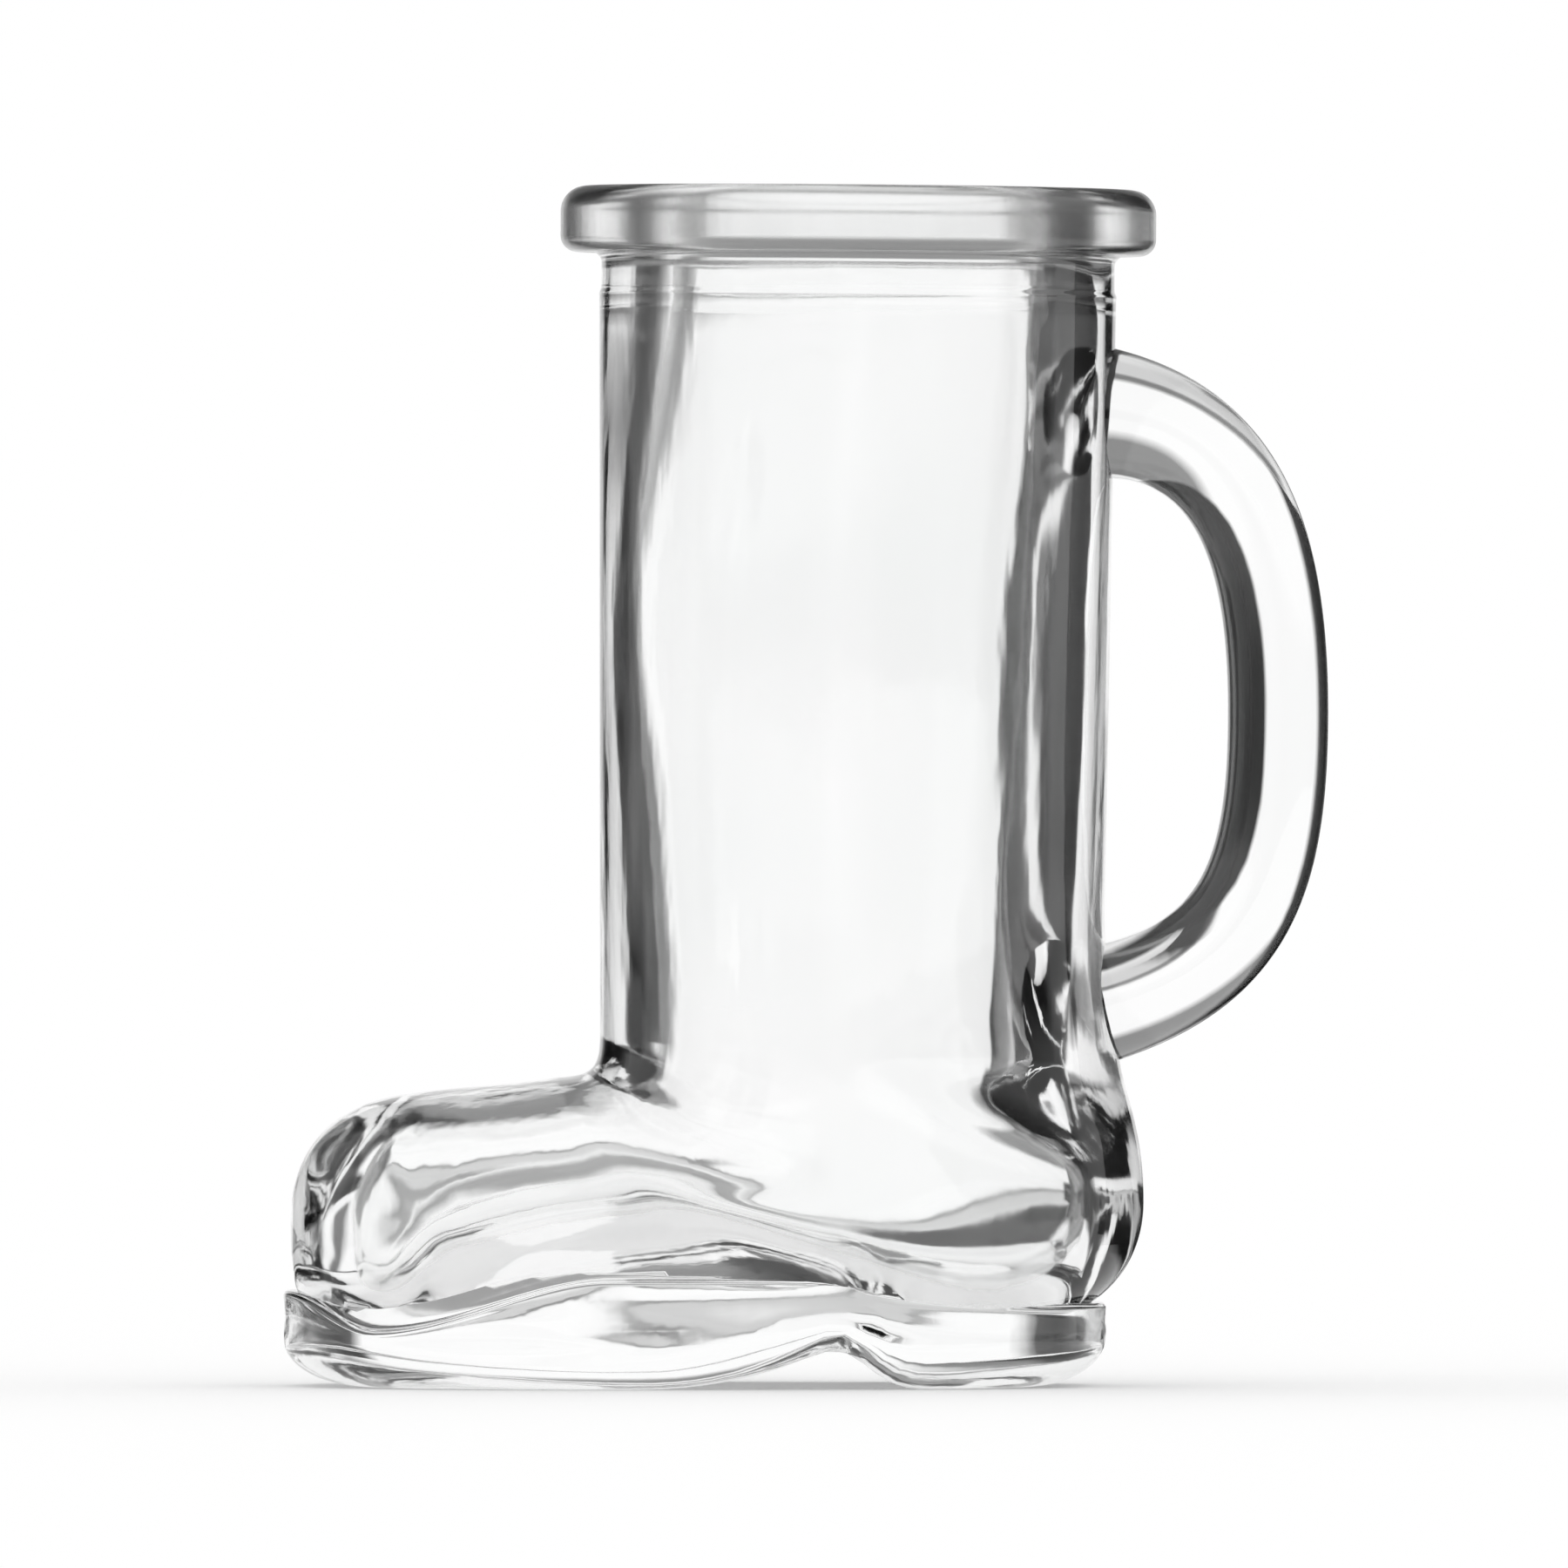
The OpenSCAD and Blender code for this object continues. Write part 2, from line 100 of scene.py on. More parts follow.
shaft_top_r = SHAFT_R + SHAFT_FLARE
rim_r = shaft_top_r + RIM_OVERHANG
shaft_len = (HEIGHT - rim_r * math.sin(LEAN) - ANKLE_H) / math.cos(LEAN) - RIM_H
bore_top_r = shaft_top_r - WALL_TOP
bore_ankle_r = SHAFT_R - WALL_ANKLE
ankle_tilt = ANKLE_SLOPE - LEAN
toe_x = -(SHAFT_R + TOE_REACH)
toe_cap_x = toe_x + TOE_CAP
shin_x = -(SHAFT_R + SHIN_BEND)
ball_x = shin_x + 3
counter_x = SHAFT_R + COUNTER_OUT
sole_toe_x = toe_x - WELT
heel_x = counter_x - HEEL_SET_BACK
handle_top_z = ANKLE_H + shaft_len - HANDLE_DROP
handle_low_z = ANKLE_H + HANDLE_RISE
handle_mid_z = (handle_top_z + handle_low_z) / 2
handle_mid_x = (SHAFT_R + SHAFT_FLARE / 2 + (handle_mid_z - ANKLE_H) * math.sin(LEAN)
                + FINGER_GAP + HANDLE_T / 2)
shift_x = -(handle_mid_x + HANDLE_T / 2 + sole_toe_x) / 2


# Curves and rings


def bez(points, t):
    """Points of a cubic curve."""
    p = np.asarray(points, float)
    t = np.asarray(t, float)[:, None]
    return p[0] * (1 - t) ** 3 + p[1] * 3 * t * (1 - t) ** 2 + p[2] * 3 * t * t * (1 - t) + p[3] * t ** 3


def bez_dir(points, t):
    """Unit directions of a cubic curve."""
    p = np.asarray(points, float)
    t = np.asarray(t, float)[:, None]
    d = (p[1] - p[0]) * (1 - t) ** 2 + (p[2] - p[1]) * 2 * t * (1 - t) + (p[3] - p[2]) * t * t
    return d / np.linalg.norm(d, axis=1, keepdims=True)


def chain(curves, u):
    """Points along several cubic curves, each of which takes an equal share of u from 0 to 1."""
    s = np.asarray(u, float) * len(curves)
    which = np.minimum(s.astype(int), len(curves) - 1)
    out = np.zeros((len(s), 2))
    for i, c in enumerate(curves):
        out[which == i] = bez(c, s[which == i] - i)
    return out


def smooth(lo, hi, x):
    """Smooth step from 0 at lo to 1 at hi."""
    s = np.clip((np.asarray(x, float) - lo) / (hi - lo), 0, 1)
    return s * s * (3 - 2 * s)


def round_unit(angle, power):
    """Points at the given angles on the rounded outline of half-size 1."""
    c, s = np.cos(angle), np.sin(angle)
    size = (np.abs(c) ** power + np.abs(s) ** power) ** (-1 / power)
    return c * size, s * size


def arc(centre, radius, start, end, n):
    """Points on an arc, with its angles in degrees."""
    a = np.radians(np.linspace(start, end, n))
    return np.stack([centre[0] + radius * np.cos(a), centre[1] + radius * np.sin(a)], 1)


def ankle_pt(r, side, out=0.0):
    """Side-view point at radius r on the slope of the ankle, at the front (-1) or the back (1)."""
    k = side * r / math.cos(ankle_tilt)
    return [k * math.cos(ANKLE_SLOPE) + out, ANKLE_H - k * math.sin(ANKLE_SLOPE)]


def foot_half(x, tip_x, full):
    """Half-width of the foot at x: full as far as the ball, and rounded off to the tip."""
    u = np.clip((ball_x - x) / (ball_x - tip_x), 0, 1)
    return full * np.maximum(0, 1 - u ** TOE_POWER) ** (1 / TOE_POWER)


def side_rings(front, back_fan, under, toe_under, tip_x, start_r, full, power, fill=0.0, raise_wide=0.0,
               toe_box=0.0, toe_box_low=0.0):
    """Rings of the foot from the ankle to the toe, between a front line and a back line of the side view.

    power rounds the lower half of the rings, fill adds to it between ankle and instep, raise_wide lifts the
    widest line, and toe_box and toe_box_low make the upper and lower half boxier towards the toe.
    """
    fan = np.linspace(0, 1, FAN_RINGS)
    instep = np.linspace(0, 1, INSTEP_RINGS)[1:]
    toe = np.sin(np.linspace(0, math.pi / 2, TOE_RINGS))[1:-1]
    near = np.concatenate([bez(front[0], fan), bez(front[1], instep), bez(front[2], toe)])
    far = np.concatenate([chain(back_fan, fan), bez(under, instep), bez(toe_under, toe)])
    s = np.concatenate([fan, np.ones(len(instep) + len(toe))])
    ease = s * s * (3 - 2 * s)
    half = foot_half((near[:, 0] + far[:, 0]) / 2, tip_x, start_r + (full - start_r) * ease)
    to_toe = np.concatenate([np.zeros(len(fan) + len(instep)), smooth(*TOE_BOX_RANGE, toe)])
    near_power = 2 + INSTEP_FILL * ease + toe_box * to_toe
    far_power = 2 + (power - 2) * ease ** 3 + fill * (4 * s * (1 - s)) ** 2 + toe_box_low * to_toe
    angle = ring_angle[None, :]
    uc, us = round_unit(angle, np.where(np.cos(angle) > 0, far_power[:, None], near_power[:, None]))
    share = (0.5 - raise_wide * ease)[:, None]
    chord = far - near
    mid = near + chord * share
    along = np.where(uc > 0, 1 - share, share) * uc
    x = mid[:, :1] + chord[:, :1] * along
    z = mid[:, 1:] + chord[:, 1:] * along
    return np.stack([x, half[:, None] * us, z], -1)


def axis_rings(profile, centre_x=None):
    """Rings round the leaning shaft axis; the lowest ones lie on the slope of the ankle."""
    r, h = np.asarray(profile, float).T
    x = r[:, None] * np.cos(ring_angle)
    y = r[:, None] * np.sin(ring_angle)
    on_slope = np.clip(1 - h / SLOPE_FADE_H, 0, 1) ** 2
    z = h[:, None] - x * math.tan(ankle_tilt) * on_slope[:, None]
    if centre_x is not None:
        x = x + np.asarray(centre_x)[:, None]
    return np.stack([x * math.cos(LEAN) + z * math.sin(LEAN), y,
                     ANKLE_H - x * math.sin(LEAN) + z * math.cos(LEAN)], -1)


def back_flare(rows, h, size, length):
    """Rings drawn out towards the back near the ankle: by size at the ankle, by nothing at height length."""
    moved = rows.copy()
    near_ankle = np.clip(1 - np.asarray(h) / length, 0, 1) ** 2
    moved[..., 0] += size / 2 * (1 + np.cos(ring_angle)) * near_ankle[:, None]
    return moved


# Side view of the foot, outside

tip = [toe_x, TOE_TIP_H]
front_out = [
    [ankle_pt(SHAFT_R, -1), [-SHAFT_R, INSTEP_H + 0.6], [shin_x + 2.5, INSTEP_H + 0.15], [shin_x, INSTEP_H]],
    [[shin_x, INSTEP_H], [shin_x - 3.4, INSTEP_H - 0.45], [toe_cap_x + 3.5, TOE_TOP_H + 0.5],
     [toe_cap_x, TOE_TOP_H]],
    [[toe_cap_x, TOE_TOP_H], [toe_cap_x - 0.65 * TOE_CAP, TOE_TOP_H - 0.7], [toe_x, TOE_TIP_H + 4.6], tip],
]
back_out = [
    [ankle_pt(SHAFT_R, 1, FLARE_OUT), [SHAFT_R + FLARE_OUT + 0.7, COUNTER_H + 6.0],
     [counter_x, COUNTER_H + 3.9], [counter_x, COUNTER_H]],
    [[counter_x, COUNTER_H], [counter_x, COUNTER_H - 3.9], [counter_x - 2.6, 4.2], [counter_x - 9.5, 3.9]],
    [[counter_x - 9.5, 3.9], [counter_x - 16, 3.6], [-4, 4.6], [shin_x + 6, 4.4]],
]
under_out = [[shin_x + 6, 4.4], [shin_x + 1, 4.2], [toe_cap_x + 8, 2.4], [toe_cap_x + 4, 2.3]]
toe_under_out = [[toe_cap_x + 4, 2.3], [toe_cap_x - 6, 2], [toe_x, TOE_TIP_H - 7], tip]

# Side view of the foot, cavity

cavity_tip_x = toe_x + WALL_TOE
cavity_top_h = INSTEP_H - WALL_INSTEP
cavity_tip = [cavity_tip_x, TOE_TIP_H - 1.2]
cavity_cap_x = cavity_tip_x + 5
cavity_shin_x = shin_x + 0.2
cavity_back_x = counter_x - WALL_COUNTER
front_in = [
    [ankle_pt(bore_ankle_r + ANKLE_SHIFT, -1), [-bore_ankle_r - ANKLE_SHIFT, ANKLE_H - 2.2],
     [cavity_shin_x + 1.6, cavity_top_h + 0.4], [cavity_shin_x, cavity_top_h]],
    [[cavity_shin_x, cavity_top_h], [cavity_shin_x - 4, cavity_top_h - 0.7],
     [cavity_cap_x + 3.5, cavity_top_h - 0.7], [cavity_cap_x, cavity_top_h - 1.2]],
    [[cavity_cap_x, cavity_top_h - 1.2], [cavity_cap_x - 3.5, cavity_top_h - 1.7],
     [cavity_tip_x, TOE_TIP_H + 2.7], cavity_tip],
]
back_in = [
    [ankle_pt(bore_ankle_r - ANKLE_SHIFT, 1, FLARE_IN),
     [bore_ankle_r - ANKLE_SHIFT + FLARE_IN + 0.5, COUNTER_H + 6.0],
     [cavity_back_x, COUNTER_H + 4.4], [cavity_back_x, COUNTER_H + 0.5]],
    [[cavity_back_x, COUNTER_H + 0.5], [cavity_back_x, COUNTER_H - 3.6], [cavity_back_x - 3, FLOOR_HEEL_H],
     [cavity_back_x - 8, FLOOR_HEEL_H]],
    [[cavity_back_x - 8, FLOOR_HEEL_H], [cavity_back_x - 13, FLOOR_HEEL_H], [-3, FLOOR_ARCH_H],
     [shin_x + 10, FLOOR_ARCH_H]],
]
under_in = [[shin_x + 10, FLOOR_ARCH_H], [shin_x + 4, FLOOR_ARCH_H], [cavity_cap_x + 8.5, FLOOR_TOE_H + 0.9],
            [cavity_cap_x + 3.5, FLOOR_TOE_H]]
toe_under_in = [[cavity_cap_x + 3.5, FLOOR_TOE_H], [cavity_cap_x - 1, FLOOR_TOE_H - 0.8],
                [cavity_tip_x, TOE_TIP_H - 6], cavity_tip]

outer_foot = side_rings(front_out, back_out, under_out, toe_under_out, toe_x, SHAFT_R, BALL_HALF, FOOT_POWER,
                        toe_box=TOE_BOX)
inner_foot = side_rings(front_in, back_in, under_in, toe_under_in, cavity_tip_x, bore_ankle_r,
                        BALL_HALF - WALL_SIDE, CAVITY_POWER, fill=CAVITY_FILL, raise_wide=CAVITY_RAISE,
                        toe_box=CAVITY_TOE_BOX, toe_box_low=CAVITY_TOE_BOX_LOW)

# Shaft, rim and bore as one profile round the leaning axis

rim_top = shaft_len + RIM_H
shaft_h = np.concatenate([np.linspace(0.4, 12, 22), np.linspace(12.8, shaft_len - NECK_H - 0.3, 28)])
shaft_profile = np.stack([SHAFT_R + SHAFT_FLARE * shaft_h / shaft_len, shaft_h], 1)
neck_r = shaft_top_r - NECK_STEP
neck_rows = np.linspace(*NECK_SOFT, 7)
neck_profile = np.stack([shaft_top_r - NECK_STEP * smooth(*NECK_SOFT, neck_rows),
                         shaft_len - NECK_H + neck_rows], 1)
rim_profile = np.concatenate([
    neck_profile,
    [[neck_r, shaft_len - UNDER_FILLET - 0.5]],
    arc([neck_r + UNDER_FILLET, shaft_len - UNDER_FILLET], UNDER_FILLET, 180, 90, 9),
    arc([rim_r - RIM_LOW_ROUND, shaft_len + RIM_LOW_ROUND], RIM_LOW_ROUND, -90, 0, 11),
    [[rim_r, (shaft_len + RIM_LOW_ROUND + rim_top - RIM_TOP_ROUND) / 2]],
    arc([rim_r - RIM_TOP_ROUND, rim_top - RIM_TOP_ROUND], RIM_TOP_ROUND, 0, 90, 15),
    [[rim_r - RIM_TOP_ROUND - 1.2, rim_top], [bore_top_r + RIM_LIP_ROUND + 1.2, rim_top]],
    arc([bore_top_r + RIM_LIP_ROUND, rim_top - RIM_LIP_ROUND], RIM_LIP_ROUND, 90, 180, 17),
])
bore_h = np.linspace(rim_top - RIM_LIP_ROUND - 0.6, 0.5, BORE_RINGS)
opening = smooth(0, BORE_FULL_H, bore_h)
bore_r = (bore_ankle_r + (BORE_FULL_R - bore_ankle_r) * opening
          - (BORE_FULL_R - bore_top_r) * smooth(*BORE_TAPER, bore_h))
bore_off = -(ANKLE_SHIFT + (BORE_SHIFT - ANKLE_SHIFT) * opening) * (1 - smooth(*SHIFT_TAPER, bore_h))
bore = back_flare(axis_rings(np.stack([bore_r, bore_h], 1), bore_off), bore_h, FLARE_IN, FLARE_IN_LEN)
shaft = back_flare(axis_rings(shaft_profile), shaft_h, FLARE_OUT, FLARE_OUT_LEN)

# The bore is drawn out towards the handle, and bore and cavity are wavy, as pressed glass is


def ripple(points, size, length, seed):
    """Smooth noise of about the given size at each point; length is that of the waves on each axis."""
    flat = points.reshape(-1, 3) / np.asarray(length)
    out = [noise.noise(Vector((p[0] + seed, p[1], p[2]))) for p in flat]
    return size * 2 * np.array(out).reshape(points.shape[:-1])


def outwards(rows, amount):
    """Rows of points moved away from the z axis, which runs through the middle of the ankle."""
    moved = rows.copy()
    plan = rows[..., :2] / np.linalg.norm(rows[..., :2], axis=-1, keepdims=True)
    moved[..., :2] += plan * amount[..., None]
    return moved


from_handle = (ring_angle + math.pi) % (2 * math.pi) - math.pi
dent = HANDLE_SIDE_DENT * np.exp(-(from_handle / DENT_WIDTH) ** 2)
in_bore = smooth(0, 8, bore_h) * (1 - smooth(shaft_len - 4, shaft_len + 2, bore_h))
bore_waves = (ripple(bore, RIPPLE, RIPPLE_LEN, BORE_RIPPLE_SEED)
              + ripple(bore, SWELL, SWELL_LEN, BORE_SWELL_SEED))
bore = outwards(bore, (dent[None, :] + bore_waves) * in_bore[:, None])

to_tip = np.linspace(0, 1, len(inner_foot))
spokes = inner_foot - inner_foot.mean(1, keepdims=True)
spokes /= np.linalg.norm(spokes, axis=-1, keepdims=True)
low_side = 0.3 + 0.7 * smooth(0.0, -0.8, spokes[..., 2])
in_cavity = (smooth(0, 0.15, to_tip) * smooth(1, 0.93, to_tip))[:, None]
cavity_waves = (ripple(inner_foot, FLOOR_SWELL, FLOOR_SWELL_LEN, CAVITY_SWELL_SEED)
                + ripple(inner_foot, RIPPLE, RIPPLE_LEN, CAVITY_RIPPLE_SEED))
inner_foot = inner_foot + spokes * (cavity_waves * low_side * in_cavity)[..., None]

rings = np.concatenate([outer_foot[::-1], shaft, axis_rings(rim_profile), bore, inner_foot])


def grid_mesh(name, rows, start, end):
    """A closed mesh from rows of ring points, closed at both ends by a point."""
    m, n = rows.shape[:2]
    verts = np.concatenate([rows.reshape(-1, 3), [start, end]]) * MM
    verts[:, 0] += shift_x * MM
    k = np.arange(n)
    k2 = (k + 1) % n
    faces = []
    for i in range(m - 1):
        a, b = i * n, (i + 1) * n
        faces += np.stack([a + k, a + k2, b + k2, b + k], 1).tolist()
    faces += np.stack([np.full(n, m * n), k2, k], 1).tolist()
    faces += np.stack([np.full(n, m * n + 1), (m - 1) * n + k, (m - 1) * n + k2], 1).tolist()
    mesh = bpy.data.meshes.new(name)
    mesh.from_pydata(verts.tolist(), [], faces)
    bm = bmesh.new()
    bm.from_mesh(mesh)
    bmesh.ops.recalc_face_normals(bm, faces=bm.faces)
    bm.to_mesh(mesh)
    bm.free()
    obj = bpy.data.objects.new(name, mesh)
    bpy.context.scene.collection.objects.link(obj)
    return obj


body = grid_mesh("boot_glass", rings, [tip[0], 0, tip[1]], [cavity_tip[0], 0, cavity_tip[1]])

# Sole slab: bottom, rounded edge, side, welt, and an inside that stays within the glass of the foot

slab_mid = np.array([-9.0, 0.0])


def slab_outline(u):
    """Outline of the slab, u = 0 at the welt and 1 at the table."""
    px, py = round_unit(ring_angle, np.where(np.cos(ring_angle) > 0, HEEL_POWER, TOE_POWER))
    front, back = sole_toe_x + TOE_ROUND * u, heel_x - HEEL_ROUND * u
    x = ball_x + px * np.where(px > 0, back - ball_x, ball_x - front)
    return np.stack([x, (SOLE_HALF - SIDE_ROUND * u) * py], 1)


def welt_h(x):
    """Height of the welt: it dips beside the toes and rises over the arch."""
    dip_x = sole_toe_x + WELT_DIP
    return (WELT_TOE_H + (WELT_BALL_H - WELT_TOE_H) * smooth(sole_toe_x, dip_x, x)
            + (WELT_ARCH_H - WELT_BALL_H) * smooth(dip_x, shin_x + 3.6, x)
            + (WELT_HEEL_H - WELT_ARCH_H) * smooth(-ARCH_X - 3, counter_x - 5.5, x))


def inset(outline, d):
    """The outline moved inwards by about d."""
    rel = outline - slab_mid
    return slab_mid + rel * (1 - d / np.linalg.norm(rel, axis=1, keepdims=True))


def level(outline, z):
    """The outline at height z, which is one number or one per point."""
    return np.concatenate([outline, np.broadcast_to(np.reshape(z, (-1, 1)), (len(outline), 1))], 1)


arch_t = np.linspace(0, 1, 80)
arch_rise = bez([[-ARCH_X - ARCH_FRONT, 0], [-ARCH_X - 0.37 * ARCH_FRONT, 0],
                 [-ARCH_X - 0.11 * ARCH_FRONT, ARCH_H], [-ARCH_X, ARCH_H]], arch_t)
arch_fall = bez([[-ARCH_X, ARCH_H], [-ARCH_X + 0.28 * ARCH_BACK, ARCH_H],
                 [-ARCH_X + 0.43 * ARCH_BACK, 0], [-ARCH_X + ARCH_BACK, 0]], arch_t)
arch_line = np.concatenate([arch_rise, arch_fall[1:]])

edge = slab_outline(0)
edge_top = welt_h(edge[:, 0])
beside = smooth(0.4, 0.85, np.abs(edge[:, 1]) / SOLE_HALF)
flat = slab_outline(1)
under_rows = [level(slab_mid + (flat - slab_mid) * k, 0) for k in np.linspace(0.04, 0.97, 30)]
side_rows = [level(slab_outline(1 - math.cos(a)), ROUND_H * (1 - math.sin(a)))
             for a in np.radians(np.linspace(90, 0, 13))]
side_rows += [level(edge, ROUND_H + (edge_top - WELT_ROUND - ROUND_H) * k) for k in np.linspace(0, 1, 9)[1:]]
welt_rows = [level(inset(edge, WELT_ROUND * (1 - math.cos(a))), edge_top - WELT_ROUND * (1 - math.sin(a)))
             for a in np.radians(np.linspace(0, 90, 7))[1:]]
# Distance in from the edge and rise of the fillet between the welt and the side of the foot
fillet = [(0.5, 0.08), (0.58, 0.3), (0.66, 0.65), (0.75, 1.1),
          (0.9, 1.6), (1.3, 1.7), (1.9, 0.6), (2.3, 0.0)]
welt_rows += [level(inset(edge, d), edge_top + rise * beside) for d, rise in fillet]
# Top of the slab inside the foot, which lies under the floor of the cavity, and the way to it from the welt
top_x = np.array([toe_x, cavity_cap_x + 3.5, ball_x - 4, -4, 6, counter_x])
top_z = np.array([3.3, 3.3, 4.4, 5.6, 4.7, 4.7])
way_in = ((3.2, 0.25), (4.5, 0.6), (6.5, 0.9), (9.0, 1.0))
for d, k in way_in:
    deep = inset(edge, d)
    welt_rows.append(level(deep, edge_top + (np.interp(deep[:, 0], top_x, top_z) - edge_top) * k))
for k in (0.7, 0.4, 0.15):
    inner = slab_mid + (deep - slab_mid) * k
    welt_rows.append(level(inner, np.interp(inner[:, 0], top_x, top_z)))

outer_rows = np.array(under_rows + side_rows)
lift = np.interp(outer_rows[..., 0], arch_line[:, 0], arch_line[:, 1], left=0, right=0)
outer_rows[..., 2] += lift * np.clip(1 - outer_rows[..., 2] / edge_top, 0, 1)
slab_waves = ripple(outer_rows, SLAB_SWELL, SLAB_SWELL_LEN, SLAB_SEED)
plan = outer_rows[..., :2] - slab_mid
plan /= np.linalg.norm(plan, axis=-1, keepdims=True)
n_under, n_side = len(under_rows), len(side_rows)
on_side = smooth(0, 3, np.arange(n_side)) * smooth(n_side, n_side - 3, np.arange(n_side))
outer_rows[n_under:, :, :2] += plan[n_under:] * (slab_waves[n_under:] * on_side[:, None])[..., None]
outer_rows[:n_under, :, 2] += np.maximum(slab_waves[:n_under], 0)
slab_rows = np.concatenate([outer_rows, np.array(welt_rows)])
slab = grid_mesh("slab_tool", slab_rows, [slab_mid[0], 0, outer_rows[0, :, 2].mean()],
                 [slab_mid[0], 0, np.interp(slab_mid[0], top_x, top_z)])

# Handle swept along its centre line

handle_line = [
    [[SHAFT_R - SINK, handle_top_z + 0.6], [SHAFT_R + 7.7, handle_top_z + 0.2],
     [handle_mid_x, handle_mid_z + 13.5], [handle_mid_x, handle_mid_z]],
    [[handle_mid_x, handle_mid_z], [handle_mid_x, handle_mid_z - 12], [SHAFT_R + 9.2, handle_low_z + 1.8],
     [SHAFT_R - SINK, handle_low_z - 0.6]],
]
handle_angle = np.linspace(0, 2 * math.pi, HANDLE_SIDES, endpoint=False)
ex, ey = round_unit(handle_angle, HANDLE_POWER)
handle_rows = []
for u in np.linspace(0, 1, HANDLE_RINGS):
    half = min(int(2 * u), 1)
    t = np.array([2 * u - half])
    p, d = bez(handle_line[half], t)[0], bez_dir(handle_line[half], t)[0]
    across = np.array([-d[1], d[0]])
    grow = FLARE_TOP * (1 - 2 * u) ** 3 if u < 0.5 else FLARE_LOW * (2 * u - 1) ** 3
    c = p + across * (ex * (HANDLE_T + grow) / 2)[:, None]
    handle_rows.append(np.stack([c[:, 0], ey * (HANDLE_W + grow) / 2, c[:, 1]], 1))
handle_rows = np.array(handle_rows)
handle = grid_mesh("handle_tool", handle_rows, handle_rows[0].mean(0), handle_rows[-1].mean(0))

# One watertight piece of glass

SHARP_ANGLE = math.radians(38)
for tool in (slab, handle):
    mod = body.modifiers.new(tool.name, "BOOLEAN")
    mod.operation = "UNION"
    mod.solver = "MANIFOLD"
    mod.object = tool
fused = bpy.data.meshes.new_from_object(body.evaluated_get(bpy.context.evaluated_depsgraph_get()))
body.modifiers.clear()
body.data = fused
for tool in (slab, handle):
    bpy.data.objects.remove(tool)
fused.polygons.foreach_set("use_smooth", [True] * len(fused.polygons))
fused.set_sharp_from_angle(angle=SHARP_ANGLE)
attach(body, "root")
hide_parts("rim_bead", "shaft", "foot", "sole", "heel", "handle")


# Material of the glass

GLASS_IOR = 1.5
GLASS_TINT = (0.988, 0.994, 0.992, 1)
ROUGH_LOW, ROUGH_HIGH, RIM_ROUGH = 0.02, 0.1, 0.15
SKIN_STRENGTH, SKIN_DEPTH = 0.05, 0.0002
TINT_SCALE, STREAK_SCALE, SKIN_SCALE = 60.0, 220.0, 420.0
STREAK_STRETCH = (1.0, 1.0, 0.25)
NOISE_LOW, NOISE_HIGH, NOISE_DETAIL = 0.35, 0.65, 2.0


def new_material(name):
    """A node material with its nodes and links."""
    mat = bpy.data.materials.new(name)
    mat.use_nodes = True
    return mat, mat.node_tree.nodes, mat.node_tree.links


def noise_band(nodes, links, where, scale, low, high):
    """Noise over the object turned into a value between low and high."""
    tex = nodes.new("ShaderNodeTexNoise")
    tex.inputs["Scale"].default_value = scale
    tex.inputs["Detail"].default_value = NOISE_DETAIL
    links.new(where, tex.inputs["Vector"])
    band = nodes.new("ShaderNodeMapRange")
    band.inputs["From Min"].default_value = NOISE_LOW
    band.inputs["From Max"].default_value = NOISE_HIGH
    band.inputs["To Min"].default_value = low
    band.inputs["To Max"].default_value = high
    links.new(tex.outputs["Fac"], band.inputs["Value"])
    return band.outputs["Result"]


glass, nodes, links = new_material("clear_glass")
shader = nodes["Principled BSDF"]
shader.inputs["Transmission Weight"].default_value = 1.0
shader.inputs["IOR"].default_value = GLASS_IOR
place = nodes.new("ShaderNodeTexCoord")
streak = nodes.new("ShaderNodeMapping")
streak.inputs["Scale"].default_value = STREAK_STRETCH
links.new(place.outputs["Object"], streak.inputs["Vector"])
# Faint grey-green of soda glass, uneven by a hair
tint = nodes.new("ShaderNodeMix")
tint.data_type = "RGBA"
tint.inputs[6].default_value = (1.0, 1.0, 1.0, 1)
tint.inputs[7].default_value = GLASS_TINT
links.new(noise_band(nodes, links, place.outputs["Object"], TINT_SCALE, 0.0, 1.0), tint.inputs[0])
links.new(tint.outputs[2], shader.inputs["Base Color"])
# The rim looks softest, and the rest has streaks of slight roughness
split = nodes.new("ShaderNodeSeparateXYZ")
links.new(place.outputs["Object"], split.inputs[0])
rim_mask = nodes.new("ShaderNodeMapRange")
rim_mask.inputs["From Min"].default_value = (HEIGHT - RIM_H - 1.2) * MM
rim_mask.inputs["From Max"].default_value = (HEIGHT - RIM_H + 0.4) * MM
rim_mask.inputs["To Min"].default_value = 0.0
rim_mask.inputs["To Max"].default_value = RIM_ROUGH
links.new(split.outputs["Z"], rim_mask.inputs["Value"])
rough = nodes.new("ShaderNodeMath")
rough.operation = "ADD"
links.new(noise_band(nodes, links, streak.outputs[0], STREAK_SCALE, ROUGH_LOW, ROUGH_HIGH), rough.inputs[0])
links.new(rim_mask.outputs["Result"], rough.inputs[1])
links.new(rough.outputs[0], shader.inputs["Roughness"])
# Fine waviness of the skin of the glass
bump = nodes.new("ShaderNodeBump")
bump.inputs["Strength"].default_value = SKIN_STRENGTH
bump.inputs["Distance"].default_value = SKIN_DEPTH
links.new(noise_band(nodes, links, streak.outputs[0], SKIN_SCALE, 0.0, 1.0), bump.inputs["Height"])
links.new(bump.outputs["Normal"], shader.inputs["Normal"])
body.data.materials.clear()
body.data.materials.append(glass)

# Floor and world

FLOOR_HALF = 1.2
FLOOR_COLOR = 0.86
FLOOR_LIT = 0.6


